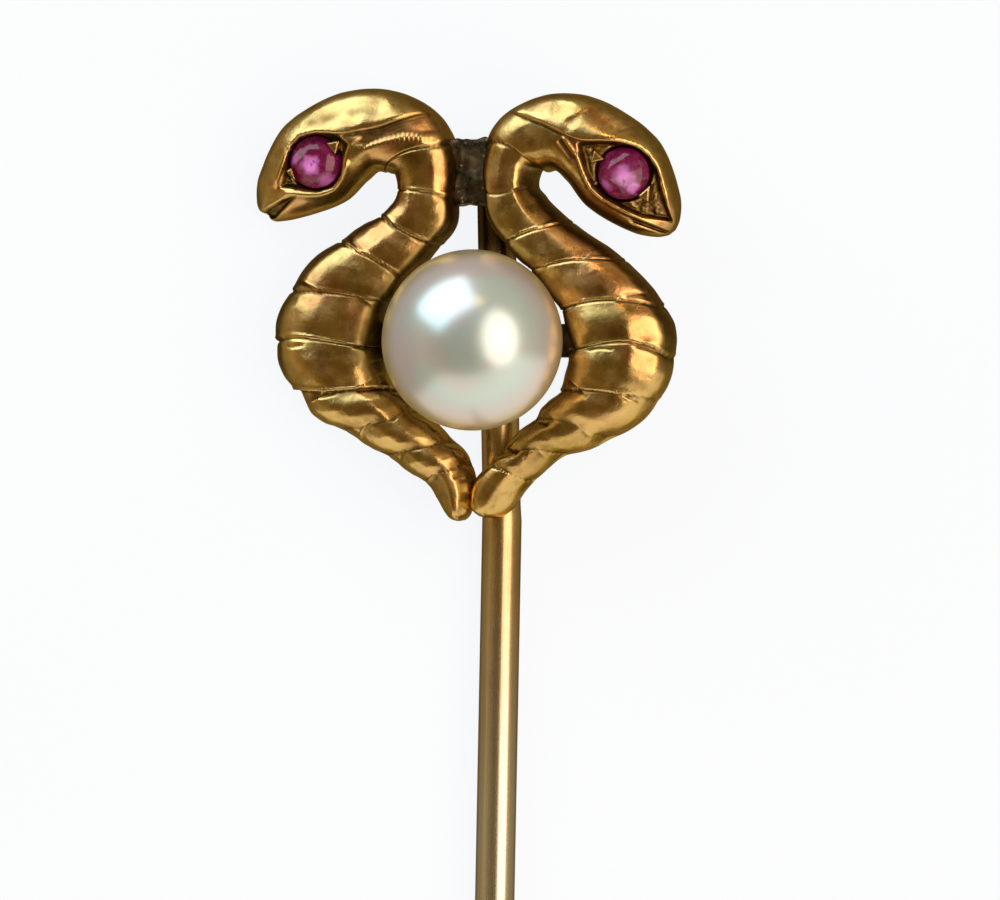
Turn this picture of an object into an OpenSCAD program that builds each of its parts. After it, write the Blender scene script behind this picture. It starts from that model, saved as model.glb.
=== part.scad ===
// Stick pin: two facing serpents around a pearl, with ruby eyes, on a round stem.
// The pin lies face up as it rests by itself. The origin is on the stem's axis where the stem
// leaves the tails. +Y runs up the stem to the heads, -Y to the point, and +Z is up.
// The head is drawn flat in its own frame, with its back at z = 0 and its face towards +Z, and is
// then rolled about the stem until the left serpent's back edge lies as low as the stem does.

/* [Stem] */
// Diameter of the stem
stem_d = 1.2; // [1.0:0.05:1.3]
// Length of the straight stem below the tails, with its point
stem_straight = 49; // [40:1:60]
// Length of the tapered point
point_length = 7; // [4:0.5:10]
// Diameter of the blunted tip
tip_d = 0.2; // [0.15:0.05:0.4]
// Angle that the stem bends to the left behind the head
bend_angle = 2.1; // [0:0.1:4]
// Length of the stem behind the head
stem_upper = 11.2; // [10.5:0.1:11.4]

/* [Head] */
// Angle that the head is rolled about the stem where the pin rests
roll_angle = 9.8; // [9.5:0.1:10.5]
// Angle that the head leans to the left of the stem
head_lean = 1.1; // [0:0.1:2]
// Distance of the stem's axis behind the serpents' backs
stem_behind = 0.55; // [0.5:0.01:0.57]
// How far each scale band swells and pinches
scute_step = 0.07; // [0.02:0.01:0.1]
// Run of the step between two bands, as a share of the way from one station to the next
groove_run = 0.04; // [0.02:0.01:0.08]

/* [Pearl] */
// Diameter of the pearl
pearl_d = 5.5; // [5:0.1:5.7]
// Pearl centre right of the stem, above the tail ends and in front of the backs
pearl_at = [-0.3, 5.47, 3.0];
// Gap left between the pearl and the metal
pearl_gap = 0.05; // [0.03:0.01:0.08]
// Diameter of the peg that the pearl is fixed on
peg_d = 0.7; // [0.5:0.05:0.8]
// Length of the peg above the back of the head
peg_top = 2.4; // [1.5:0.1:3]

/* [Rubies] */
// Diameter of a ruby
ruby_d = 1.6; // [1.4:0.05:1.7]
// Gap left around a ruby in its seat
ruby_gap = 0.04; // [0.03:0.01:0.06]
// Height of a ruby's girdle in front of the backs
girdle_z = 1.8; // [1.7:0.05:1.9]
// Height of the crown above the girdle
crown_height = 0.45; // [0.3:0.05:0.6]
// Depth of the pavilion below the girdle
pavilion_depth = 0.55; // [0.4:0.05:0.6]

/* [Hidden] */
$fn = 48;
gold = [0.72, 0.55, 0.24];

// Stations along each serpent from snout to tail, in the head's own frame.
// Columns: x, y, half width, height of the back, height of the ridge
LEFT_ROWS = [
    [-7.12, 9.28, 0.28, 0.36, 1.10],
    [-6.62, 9.84, 0.90, 0.30, 1.75],
    [-5.56, 10.83, 1.43, 0.24, 2.15],
    [-4.58, 11.60, 1.37, 0.16, 2.30],
    [-3.60, 11.90, 1.24, 0.08, 2.25],
    [-2.64, 11.63, 1.13, 0.02, 2.15],
    [-2.22, 11.13, 1.04, 0.00, 2.05],
    [-2.07, 10.62, 0.97, 0.00, 2.00],
    [-2.05, 9.95, 0.92, 0.00, 2.00],
    [-2.15, 9.33, 0.96, 0.00, 2.00],
    [-2.55, 8.78, 0.96, 0.00, 2.05],
    [-3.48, 7.98, 1.14, 0.00, 2.25],
    [-4.50, 7.05, 1.44, 0.00, 2.40],
    [-5.10, 5.52, 1.56, 0.00, 2.45],
    [-4.52, 4.10, 1.30, 0.00, 2.35],
    [-3.50, 3.20, 0.98, 0.00, 2.10],
    [-2.36, 2.30, 0.80, 0.00, 1.90],
    [-1.50, 1.55, 0.76, 0.00, 1.75],
    [-1.12, 0.85, 0.72, 0.00, 1.60],
    [-0.98, 0.25, 0.55, 0.00, 1.45],
    [-0.96, 0.00, 0.26, 0.00, 1.20],
];
RIGHT_ROWS = [
    [5.40, 8.74, 0.26, 0.36, 1.10],
    [4.97, 9.31, 0.91, 0.30, 1.75],
    [4.03, 10.51, 1.47, 0.24, 2.15],
    [2.97, 11.50, 1.34, 0.16, 2.30],
    [1.99, 11.84, 1.17, 0.08, 2.25],
    [1.14, 11.62, 1.06, 0.02, 2.15],
    [0.71, 11.22, 0.98, 0.00, 2.05],
    [0.55, 10.72, 0.87, 0.00, 2.00],
    [0.55, 10.06, 0.80, 0.00, 2.00],
    [0.69, 9.48, 0.86, 0.00, 2.00],
    [1.05, 8.95, 0.87, 0.00, 2.05],
    [2.06, 8.06, 1.00, 0.00, 2.25],
    [3.03, 7.15, 1.24, 0.00, 2.40],
    [3.98, 5.62, 1.52, 0.00, 2.45],
    [3.62, 4.20, 1.40, 0.00, 2.35],
    [2.56, 3.10, 1.02, 0.00, 2.10],
    [1.53, 2.41, 0.69, 0.00, 1.90],
    [0.54, 1.50, 0.70, 0.00, 1.75],
    [0.14, 0.88, 0.64, 0.00, 1.60],
    [-0.15, 0.38, 0.42, 0.00, 1.45],
    [-0.25, 0.14, 0.20, 0.00, 1.20],
];
// Stations at which one scale band ends and the next begins
BAND_ENDS = [5.8, 8.05, 10.2, 11.2, 12.25, 13.15, 14.1, 15.1, 16.1, 17.1, 18.2];
// Half section of a serpent, from its back edge to the ridge.
// Columns: share of the half width, share of the height
SECTION = [
    [0.93, 0.00],
    [1.00, 0.10],
    [1.00, 0.44],
    [0.94, 0.66],
    [0.78, 0.84],
    [0.45, 0.96],
    [0.00, 1.00],
];
HEAD_STEP = 0.4;
BAND_SHARES = [0, 0.2, 0.45, 0.75, 1];
SWELL_TURN = 135;
TAIL_STEP = 0.5;

// Centres of the two eye stones in the head's own frame
LEFT_EYE = [-5.40, 10.86];
RIGHT_EYE = [4.02, 10.52];
// Directions from each eye to its two bead prongs
LEFT_PRONGS = [40, 208];
RIGHT_PRONGS = [148, -45];
prong_d = 0.4;
prong_out = 0.98;
prong_z = 1.95;
seat_depth = 0.62;
girdle_half = 0.06;
table_share = 0.6;

// Mouth: corner, upper lip and lower lip at the snout, in the head's own frame
LEFT_MOUTH = [[-5.98, 9.80], [-7.35, 9.52], [-6.98, 9.08]];
RIGHT_MOUTH = [[4.30, 9.28], [5.55, 8.60], [5.30, 8.46]];
mouth_floor = 0.9;

// Cross bar with its cup behind the pearl, and bridge between the necks
bar_width = 1.06;
bar_back = -0.12;
bar_front = 0.5;
bar_left = -4.3;
bar_right = 3.2;
bridge_bottom = 9.6;
bridge_top = 11.6;
bridge_left = -1.7;
bridge_right = 0.2;
bridge_back = -0.1;
bridge_front = 1.15;
cup_d = 2.4;
cup_top = 0.62;
bore_clearance = 0.05;
bore_bottom = 2.6;
above_all = 4;
// The stem behind the head is a little thinner and starts inside the one below
bend_overlap = 0.2;
bend_step = 0.04;

function row_count(rows) = len(rows) - 1;

// Catmull-Rom curve through the rows, at station t
function curve_value(a, b, c, d, u) = 0.5 * (2 * b + (c - a) * u
    + (2 * a - 5 * b + 4 * c - d) * u * u + (3 * b - 3 * c + d - a) * u * u * u);
function row_at(rows, i) = rows[max(0, min(row_count(rows), i))];
function row_before(rows, t) = min(floor(t), row_count(rows) - 1);
function station(rows, t) = let (i = row_before(rows, t)) curve_value(
    row_at(rows, i - 1), row_at(rows, i), row_at(rows, i + 1), row_at(rows, i + 2), t - i);

// Unit vector along the serpent, turned evenly from each row to the next
function unit(v) = v / norm(v);
function row_heading(rows, i) = let (d = row_at(rows, i + 1) - row_at(rows, i - 1))
    unit([d[0], d[1]]);
function heading(rows, t) = let (i = row_before(rows, t))
    unit((i + 1 - t) * row_heading(rows, i) + (t - i) * row_heading(rows, i + 1));

// A band starts pinched under the one before it, swells, and ends in a proud lip
function swell(share) = scute_step * (2 * sin(SWELL_TURN * share) - 1);
head_stations = [for (t = [0:HEAD_STEP:BAND_ENDS[0] - HEAD_STEP / 2]) [t, 0]];
band_stations = [for (i = [0:len(BAND_ENDS) - 2]) for (share = BAND_SHARES) [
    BAND_ENDS[i] + groove_run / 2 + share * (BAND_ENDS[i + 1] - BAND_ENDS[i] - groove_run),
    swell(share)]];
tail_stations = [for (t = [BAND_ENDS[len(BAND_ENDS) - 1] + TAIL_STEP / 2:TAIL_STEP:
    row_count(LEFT_ROWS) - TAIL_STEP / 4]) [t, -scute_step / 2]];
end_station = [[row_count(LEFT_ROWS), -scute_step / 2]];
all_stations = concat(head_stations, band_stations, tail_stations, end_station);

// One ring of a serpent: right half from the back edge to the ridge, then the left half down
ring_shape = concat(SECTION, [for (i = [len(SECTION) - 2:-1:0])
    [-SECTION[i][0], SECTION[i][1]]]);
function ring(rows, t, swelling) = let (
    s = station(rows, t),
    along = heading(rows, t),
    half = s[2] + swelling,
    height = s[4] - s[3] + swelling)
    [for (p = ring_shape) [
        s[0] + p[0] * half * along[1],
        s[1] - p[0] * half * along[0],
        s[3] + p[1] * height]];

// Solid swept through all the rings, closed by a flat face at each end
module serpent(rows) {
    rings = [for (s = all_stations) ring(rows, s[0], s[1])];
    sides = len(ring_shape);
    points = [for (r = rings) for (p = r) p];
    walls = [for (i = [0:len(rings) - 2]) for (j = [0:sides - 1]) for (half = [0, 1])
        let (k = (j + 1) % sides, a = i * sides, b = a + sides)
        half == 0 ? [a + j, a + k, b + j] : [a + k, b + k, b + j]];
    first_cap = [[for (j = [sides - 1:-1:0]) j]];
    last_cap = [[for (j = [0:sides - 1]) (len(rings) - 1) * sides + j]];
    polyhedron(points, concat(walls, first_cap, last_cap), convexity = 10);
}

// Wedge cut into the snout between the jaws
module mouth(corners) {
    translate([0, 0, mouth_floor]) linear_extrude(above_all) polygon(corners);
}

// Round seat drilled for an eye stone
module ruby_seat(eye) {
    translate([eye[0], eye[1], girdle_z - seat_depth])
        cylinder(d = ruby_d + 2 * ruby_gap, h = above_all);
}

// Two beads raised from the metal beside an eye stone
module prongs(eye, directions) {
    for (a = directions)
        translate([eye[0] + prong_out * cos(a), eye[1] + prong_out * sin(a), prong_z])
            sphere(d = prong_d);
}

// Serpent with its eye seat, mouth and prongs
module finished_serpent(rows, eye, mouth_corners, directions) {
    difference() {
        serpent(rows);
        ruby_seat(eye);
        mouth(mouth_corners);
    }
    prongs(eye, directions);
}

// Places what is drawn in the head's own frame where the resting head lies
module place_head() {
    rotate([0, -roll_angle, 0]) translate([0, 0, stem_behind])
        rotate([0, 0, head_lean]) children();
}

module stem() {
    straight = stem_straight - point_length;
    rotate([90, 0, 0]) {
        cylinder(d = stem_d, h = straight);
        translate([0, 0, straight]) cylinder(d1 = stem_d, d2 = tip_d, h = point_length);
        translate([0, 0, stem_straight]) sphere(d = tip_d);
    }
    rotate([-90, 0, bend_angle]) translate([0, 0, -bend_overlap])
        cylinder(d = stem_d - bend_step, h = stem_upper + bend_overlap);
}

// Bar across the back that carries the pearl on its cup and peg
module pearl_bar() {
    translate([bar_left, pearl_at[1] - bar_width / 2, bar_back])
        cube([bar_right - bar_left, bar_width, bar_front - bar_back]);
    translate([pearl_at[0], pearl_at[1], 0]) {
        cylinder(d = cup_d, h = cup_top);
        cylinder(d = peg_d, h = peg_top);
    }
}

module neck_bridge() {
    translate([bridge_left, bridge_bottom, bridge_back])
        cube([bridge_right - bridge_left, bridge_top - bridge_bottom,
            bridge_front - bridge_back]);
}

module serpent_pin() {
    color(gold) {
        stem();
        place_head() {
            finished_serpent(LEFT_ROWS, LEFT_EYE, LEFT_MOUTH, LEFT_PRONGS);
            finished_serpent(RIGHT_ROWS, RIGHT_EYE, RIGHT_MOUTH, RIGHT_PRONGS);
            neck_bridge();
            difference() {
                pearl_bar();
                difference() {
                    translate(pearl_at) sphere(d = pearl_d + 2 * pearl_gap);
                    translate([pearl_at[0], pearl_at[1], 0]) cylinder(d = peg_d, h = peg_top);
                }
            }
        }
    }
}

// Round pearl, drilled halfway from behind for the peg
module pearl() {
    color([0.9, 0.87, 0.8]) place_head() difference() {
        translate(pearl_at) sphere(d = pearl_d);
        translate([pearl_at[0], pearl_at[1], 0])
            cylinder(d = peg_d + 2 * bore_clearance, h = bore_bottom);
    }
}

// Round stone with a flat table, a girdle and a pointed pavilion
module ruby(eye) {
    color([0.6, 0.12, 0.42]) place_head() translate([eye[0], eye[1], girdle_z])
        rotate_extrude() polygon([
            [0, -pavilion_depth],
            [ruby_d / 2, -girdle_half],
            [ruby_d / 2, girdle_half],
            [ruby_d / 2 * table_share, crown_height],
            [0, crown_height],
        ]);
}

module ruby_left() {
    ruby(LEFT_EYE);
}

module ruby_right() {
    ruby(RIGHT_EYE);
}

serpent_pin();
pearl();
ruby_left();
ruby_right();
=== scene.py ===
"""Gold stick pin: two facing serpents around a pearl, with ruby eyes, lying face up on a pale floor.

Sizes are in millimetres and are put in the meshes in metres. The serpents, the bridge and the
pearl's bar are drawn flat in the head's own frame, with their backs at z = 0, and on_pin places
them as the part does.
"""

import math
from functools import partial

import bpy
import numpy as np
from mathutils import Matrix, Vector, noise


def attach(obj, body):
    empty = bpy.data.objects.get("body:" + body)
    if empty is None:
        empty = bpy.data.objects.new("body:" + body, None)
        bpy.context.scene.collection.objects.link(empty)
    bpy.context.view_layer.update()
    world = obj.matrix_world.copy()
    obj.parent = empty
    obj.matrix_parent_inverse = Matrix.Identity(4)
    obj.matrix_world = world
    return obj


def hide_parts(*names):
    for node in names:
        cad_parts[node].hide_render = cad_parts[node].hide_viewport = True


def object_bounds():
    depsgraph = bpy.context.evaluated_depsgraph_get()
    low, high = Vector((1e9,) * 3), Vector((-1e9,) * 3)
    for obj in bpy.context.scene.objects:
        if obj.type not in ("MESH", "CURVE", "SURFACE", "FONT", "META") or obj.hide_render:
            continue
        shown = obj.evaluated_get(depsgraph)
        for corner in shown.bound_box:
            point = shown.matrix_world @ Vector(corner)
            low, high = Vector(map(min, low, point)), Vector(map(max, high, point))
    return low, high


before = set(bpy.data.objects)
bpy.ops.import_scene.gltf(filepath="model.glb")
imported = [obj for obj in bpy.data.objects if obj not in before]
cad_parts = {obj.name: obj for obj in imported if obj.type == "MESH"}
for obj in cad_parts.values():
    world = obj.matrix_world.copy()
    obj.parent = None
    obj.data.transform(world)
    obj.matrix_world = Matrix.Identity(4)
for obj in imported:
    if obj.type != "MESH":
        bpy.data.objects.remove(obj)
cad_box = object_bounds()

MM = 0.001

# How the head lies: it leans left of the stem, its back is in front of the stem's axis, and the
# whole pin is rolled about the stem.
HEAD_LEAN = math.radians(1.1)
STEM_BEHIND = 0.55
ROLL = math.radians(9.8)
CAMERA_ROLL = math.radians(1.09)

# The serpents' measures

# Stations from snout to tail: x, y, half width, height of the back, height of the ridge. A station
# is a row's number, and the numbers between two rows are the places between them.
LEFT_ROWS = np.array([
    [-7.10, 9.27, 0.28, 0.36, 1.10],
    [-6.59, 9.84, 0.87, 0.30, 1.75],
    [-5.55, 10.80, 1.45, 0.24, 2.15],
    [-4.56, 11.56, 1.39, 0.16, 2.30],
    [-3.60, 11.87, 1.27, 0.08, 2.25],
    [-2.67, 11.59, 1.20, 0.02, 2.15],
    [-2.22, 11.12, 1.08, 0.00, 2.05],
    [-2.07, 10.62, 0.97, 0.00, 2.00],
    [-2.05, 9.95, 0.92, 0.00, 2.00],
    [-2.13, 9.33, 0.98, 0.00, 2.00],
    [-2.57, 8.80, 0.98, 0.00, 2.02],
    [-3.50, 8.00, 1.16, 0.00, 2.10],
    [-4.51, 7.04, 1.45, 0.01, 2.22],
    [-5.14, 5.50, 1.64, 0.02, 2.30],
    [-4.54, 4.08, 1.36, 0.01, 2.26],
    [-3.48, 3.18, 1.04, 0.00, 2.10],
    [-2.35, 2.29, 0.87, 0.00, 1.90],
    [-1.51, 1.54, 0.79, 0.00, 1.75],
    [-1.20, 0.83, 0.64, 0.00, 1.60],
    [-1.15, 0.26, 0.38, 0.00, 1.45],
    [-1.10, 0.02, 0.22, 0.00, 1.20],
])
RIGHT_ROWS = np.array([
    [5.40, 8.74, 0.26, 0.36, 1.10],
    [4.97, 9.31, 0.91, 0.30, 1.75],
    [4.01, 10.48, 1.46, 0.24, 2.15],
    [2.95, 11.45, 1.33, 0.16, 2.30],
    [2.00, 11.79, 1.19, 0.08, 2.25],
    [1.17, 11.57, 1.10, 0.02, 2.15],
    [0.71, 11.20, 1.00, 0.00, 2.05],
    [0.55, 10.72, 0.86, 0.00, 2.00],
    [0.54, 10.06, 0.79, 0.00, 2.00],
    [0.71, 9.50, 0.90, 0.00, 2.00],
    [1.08, 8.98, 0.92, 0.00, 2.01],
    [2.06, 8.06, 1.01, 0.00, 2.06],
    [3.03, 7.15, 1.25, 0.00, 2.18],
    [3.98, 5.61, 1.57, 0.00, 2.32],
    [3.63, 4.18, 1.48, 0.00, 2.28],
    [2.55, 3.10, 1.04, 0.00, 2.10],
    [1.49, 2.45, 0.74, 0.00, 1.90],
    [0.52, 1.52, 0.68, 0.00, 1.75],
    [-0.02, 0.88, 0.72, 0.00, 1.60],
    [-0.27, 0.40, 0.56, 0.00, 1.45],
    [-0.34, 0.12, 0.36, 0.00, 1.20],
])

# Scale bands from the head down to the tail. Each has the stations where it begins, how deep its
# first line is cut and how high the lip above that line stands, all at the serpent's left edge, in
# its middle and at its right edge, and then how far its start is set in and how far its end falls.
LEFT_BANDS = [
    ((4.60, 5.72, 6.20), (0.06, 0.05, 0.05), (0.01, 0.03, 0.04), 0.03, 0.02),
    ((7.86, 7.93, 8.12), (0.04, 0.02, 0.03), (0.01, 0.02, 0.03), 0.03, 0.03),
    ((10.28, 10.02, 9.72), (0.06, 0.03, 0.06), (0.02, 0.03, 0.03), 0.04, 0.04),
    ((11.33, 11.04, 10.82), (0.07, 0.04, 0.04), (0.01, 0.03, 0.03), 0.04, 0.04),
    ((12.38, 12.10, 11.62), (0.06, 0.03, 0.04), (0.01, 0.02, 0.04), 0.05, 0.04),
    ((13.02, 13.00, 13.35), (0.08, 0.03, 0.08), (0.03, 0.03, 0.03), 0.07, 0.055),
    ((13.66, 14.10, 14.85), (0.07, 0.02, 0.05), (0.05, 0.05, 0.03), 0.15, 0.09),
    ((14.62, 15.22, 15.55), (0.03, 0.01, 0.01), (0.00, 0.00, 0.00), 0.08, 0.09),
    ((15.60, 16.18, 16.52), (0.02, 0.01, 0.01), (0.00, 0.00, 0.01), 0.06, 0.07),
    ((16.85, 17.10, 17.30), (0.02, 0.01, 0.02), (0.00, 0.00, 0.01), 0.04, 0.00),
]
RIGHT_BANDS = [
    ((6.35, 5.80, 5.85), (0.06, 0.03, 0.00), (0.00, 0.02, 0.03), 0.03, 0.02),
    ((7.92, 8.16, 7.86), (0.04, 0.02, 0.01), (0.01, 0.01, 0.01), 0.02, 0.02),
    ((9.95, 10.25, 10.65), (0.04, 0.04, 0.06), (0.01, 0.03, 0.04), 0.015, 0.035),
    ((10.78, 11.25, 12.00), (0.05, 0.03, 0.07), (0.01, 0.02, 0.04), 0.015, 0.045),
    ((12.05, 12.33, 12.72), (0.06, 0.05, 0.07), (0.01, 0.02, 0.04), 0.06, 0.05),
    ((13.28, 13.12, 13.38), (0.06, 0.05, 0.07), (0.02, 0.02, 0.03), 0.07, 0.06),
    ((14.90, 14.20, 13.90), (0.04, 0.02, 0.01), (0.01, 0.02, 0.01), 0.09, 0.09),
    ((15.85, 15.16, 14.87), (0.02, 0.01, 0.00), (0.00, 0.00, 0.00), 0.08, 0.09),
    ((16.95, 16.35, 15.90), (0.01, 0.01, 0.00), (0.00, 0.00, 0.00), 0.06, 0.06),
    ((17.25, 17.05, 16.87), (0.01, 0.01, 0.00), (0.00, 0.00, 0.00), 0.03, 0.00),
]

# The shares of a band over which its start is set in and its end falls, how much deeper both are at
# the rims, and the widths of a lip and of a cut line
SET_IN_SHARE = 0.45
FALL_SHARE = 0.36
RIM_GAIN = 0.5
LIP_WIDTH = 0.04
CUT_WIDTH = 0.04

# Half sections: the number of the point that lies on the crease, and the points from the ridge to
# the edge of the back, as shares of the half width and of the height
BROWED = (2, [
    (0, 1), (0.25, 0.998), (0.4, 0.99), (0.5, 0.972), (0.84, 0.855), (0.93, 0.77), (0.98, 0.6),
    (1, 0.42), (0.99, 0.1), (0.92, 0),
])
DOMED = (3, [
    (0, 1), (0.2, 0.998), (0.32, 0.99), (0.4, 0.98), (0.5, 0.963), (0.66, 0.915), (0.82, 0.81),
    (0.95, 0.62), (1, 0.42), (0.99, 0.1), (0.92, 0),
])
ROUND = (3, [
    (0, 1), (0.2, 0.997), (0.32, 0.986), (0.4, 0.973), (0.5, 0.955), (0.7, 0.89), (0.88, 0.75),
    (0.98, 0.52), (1, 0.3), (0.98, 0.08), (0.92, 0),
])
FACETED = (2, [
    (0, 1), (0.25, 0.998), (0.4, 0.985), (0.82, 0.865), (0.89, 0.81), (0.97, 0.62), (1, 0.4),
    (0.98, 0.08), (0.92, 0),
])
BROAD = (3, [
    (0, 1), (0.12, 0.999), (0.22, 0.994), (0.3, 0.985), (0.38, 0.968), (0.84, 0.835),
    (0.92, 0.79), (0.98, 0.62), (1, 0.4), (0.98, 0.08), (0.92, 0),
])
STEEP = (2, [
    (0, 1), (0.25, 0.99), (0.42, 0.975), (0.86, 0.73), (0.94, 0.64), (1, 0.45), (1, 0.3),
    (0.98, 0.08), (0.92, 0),
])
SQUARED = (2, [
    (0, 1), (0.25, 0.998), (0.4, 0.99), (0.84, 0.945), (0.93, 0.86), (0.98, 0.68), (1, 0.4),
    (0.99, 0.1), (0.92, 0),
])
LOW_ROUND = (2, [
    (0, 1), (0.2, 0.985), (0.4, 0.94), (0.6, 0.85), (0.8, 0.68), (0.93, 0.46), (1, 0.2),
    (1, 0.06), (0.95, 0),
])

# Stations of the half sections, for the left and the right half of each serpent as it runs. The
# first holds from the snout and the last to the tail's end.
LEFT_SECTIONS = ([
    (5, DOMED), (6.5, ROUND), (8, FACETED), (10.1, FACETED), (11, ROUND), (14, ROUND),
    (15, LOW_ROUND),
], [
    (5, BROWED), (6, FACETED), (7.8, FACETED), (8.4, SQUARED), (13.8, SQUARED),
    (14.6, ROUND), (16.5, ROUND), (17.5, STEEP),
])
RIGHT_SECTIONS = ([
    (5, BROWED), (6.5, ROUND), (8, SQUARED), (13.6, SQUARED), (14.4, ROUND),
], [
    (5, DOMED), (6.5, STEEP), (9.5, STEEP), (10.5, ROUND), (12.2, BROAD), (13.6, BROAD),
    (14.6, LOW_ROUND),
])

# How fine the skins are: points on each side that a crease is softened over, points of each stretch
# of a section, distances between rings, and how far a facet's crease, a rounded end and the waves
# left by the hand go
CREASE_BLUR = 3
TOP_POINTS = 14
SIDE_POINTS = 30
BACK_POINTS = 10
FACET_SHIFT = 0.13
HEAD_RING_STEP = 0.032
BODY_RING_STEP = 0.042
END_ROUNDING = 0.16
HAND_WAVES = 0.018

# Rings are closer from the snout to this station
NECK_STATION = 5.8

# Where the relief starts over the back and the head's features start on its sides, and where each
# is at full height, by the share of the height and by how upright the surface faces
OVER_BACK = (0.02, 0.25)
FACES_FRONT = (0.15, 0.5)

# Where the painted shade on the walls, beside the pearl and along the outer rims starts and where it
# is full: by station, by the share of the half width, and on the walls by how upright the surface faces
NECK_BEGINS = (5.5, 7)
COIL_BEGINS = (7.5, 9)
COIL_ENDS = (15, 14)
RIM_ENDS = (13.8, 13)
TAIL_BEGINS = (13, 14)
PEARL_SHADE = (0.38, 0.8)
OUTER_RIM = (0.68, 0.92)
WALL_SLOPE = (0.86, 0.5)

# A hollow is measured against the mean of the points that many rings and sides around, and is
# fully tarnished that many millimetres under it
FINE_HOLLOW = (3, 0.006)
BROAD_HOLLOW = (9, 0.03)
WORN_EDGE = 0.01

# The photo: its width in pixels, one pixel in mm, the pixel where the pin's origin is seen, and the
# height of the front that is seen, over the head's back
PHOTO_WIDTH = 1000
PIXEL = 0.0304
ORIGIN_PIXEL = (502, 521)
FRONT_HEIGHT = 1.95

# Features of the heads, as pixels of the photo. The raised side is left of each line.
# Recesses, the channel and the left mouth are closed outlines.
LEFT_RECESS = [
    (351, 145), (342, 137), (330, 134), (318, 133), (300, 138), (290, 152), (285, 170), (280, 188),
    (291, 189), (304, 192), (318, 193), (333, 189), (342, 178), (345, 163),
]
LEFT_BROW = [
    (274, 191), (282, 170), (290, 150), (303, 137), (325, 133), (345, 134), (363, 132), (380, 129),
    (396, 123), (412, 117), (428, 113), (444, 110),
]
LEFT_VALLEY = [(345, 136), (363, 134), (380, 131), (396, 125), (412, 119), (428, 115), (438, 113)]
LEFT_CHANNEL = [
    (352, 146), (363, 135), (380, 132), (396, 126), (412, 120), (428, 116), (440, 120), (443, 136),
    (425, 138), (405, 138), (385, 143), (368, 150),
]
LEFT_CHEEK = [(356, 153), (372, 146), (388, 141), (404, 138), (420, 138), (440, 141)]
LEFT_LID = [(278, 194), (290, 194), (311, 197), (325, 196), (337, 190), (346, 176), (350, 158)]
LEFT_MOUTH = [(298, 196), (283, 199), (263, 209), (256, 214), (264, 223), (272, 219), (284, 209)]
LEFT_SNOUT_NOTCH = (258, 218)
RIGHT_RECESS = [
    (579, 145), (600, 143), (620, 144), (636, 149), (647, 158), (655, 171), (659, 192), (668, 223),
    (640, 218), (620, 209), (604, 200), (592, 189), (586, 174), (582, 160),
]
RIGHT_BROW = [
    (506, 110), (514, 113), (540, 123), (556, 131), (572, 138), (584, 142), (600, 142), (620, 143),
    (638, 148), (650, 158), (658, 172), (663, 195), (669, 222),
]
RIGHT_LIP = [(577, 152), (580, 168), (590, 192), (604, 203), (620, 212), (640, 222), (667, 233)]
RIGHT_CHEEK = [(562, 136), (569, 146), (576, 156), (580, 162)]
RIGHT_MOUTH = [(628, 220), (648, 228), (669, 236)]

# Lines cut with a graver: pixels of the photo, then half width and depth in mm
LEFT_CUTS = [
    (LEFT_VALLEY, 0.11, 0.08),
    ([(284, 346), (295, 347), (306, 345)], 0.045, 0.05),
    ([(352, 346), (364, 349), (378, 350)], 0.045, 0.06),
    ([(308, 398), (322, 397), (340, 392)], 0.05, 0.06),
    ([(354, 391), (372, 390), (392, 388)], 0.05, 0.09),
    ([(449, 479), (459, 473), (468, 464)], 0.05, 0.07),
    ([(456, 482), (466, 477), (474, 469)], 0.045, 0.06),
    ([(466, 482), (467, 496), (467, 511)], 0.04, 0.10),
]
RIGHT_CUTS = [
    ([(516, 113), (535, 121), (552, 130), (568, 136)], 0.05, 0.05),
    ([(580, 150), (584, 164), (590, 179), (598, 191)], 0.035, 0.05),
    ([(566, 128), (584, 117), (606, 105)], 0.16, 0.045),
    ([(600, 127), (614, 119), (628, 113)], 0.08, 0.03),
    ([(616, 135), (630, 129), (640, 127)], 0.06, 0.03),
    ([(620, 296), (640, 294), (658, 299)], 0.045, 0.06),
    ([(640, 304), (652, 305), (664, 309)], 0.04, 0.06),
    ([(586, 351), (600, 348), (616, 350)], 0.04, 0.06),
    ([(632, 345), (652, 351), (672, 360)], 0.045, 0.07),
    ([(536, 422), (548, 425)], 0.06, 0.10),
    ([(502, 447), (518, 453)], 0.06, 0.10),
]

# Shallow dents in the crowns: pixel of the photo, radius and depth in mm
LEFT_DENTS = [
    ((378, 108), 0.3, 0.05), ((352, 116), 0.34, 0.06), ((330, 122), 0.32, 0.05),
    ((312, 124), 0.22, 0.03),
]
RIGHT_DENTS = [
    ((560, 108), 0.3, 0.05), ((598, 116), 0.3, 0.06), ((612, 128), 0.22, 0.04),
    ((636, 132), 0.3, 0.04),
]

# Painted dark reflections, as dull lines along the crown of the left head: pixels of the photo
LEFT_DARK_REFLECTIONS = [
    [(302, 127), (312, 123), (322, 124), (334, 117), (344, 114)],
    [(344, 109), (354, 114), (366, 111), (376, 116), (388, 115)],
]

# Rosier spots of the gold: pixel of the photo, radius in mm
LEFT_ROSY = [
    ((385, 140), 0.9), ((420, 128), 0.8), ((443, 175), 0.8), ((405, 208), 0.7), ((372, 236), 1.0),
    ((315, 291), 1.0), ((410, 262), 0.7), ((290, 215), 0.7), ((325, 300), 0.6), ((366, 322), 0.6),
    ((276, 187), 0.3), ((428, 128), 0.4),
]
RIGHT_ROSY = [
    ((572, 152), 0.7), ((600, 122), 0.5), ((566, 222), 1.1), ((592, 250), 1.3), ((628, 280), 1.2),
    ((645, 305), 0.9), ((655, 212), 0.7), ((600, 205), 1.0), ((640, 350), 0.8), ((590, 110), 0.25),
    ((607, 119), 0.3), ((648, 211), 0.35), ((628, 211), 0.3),
]

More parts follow.
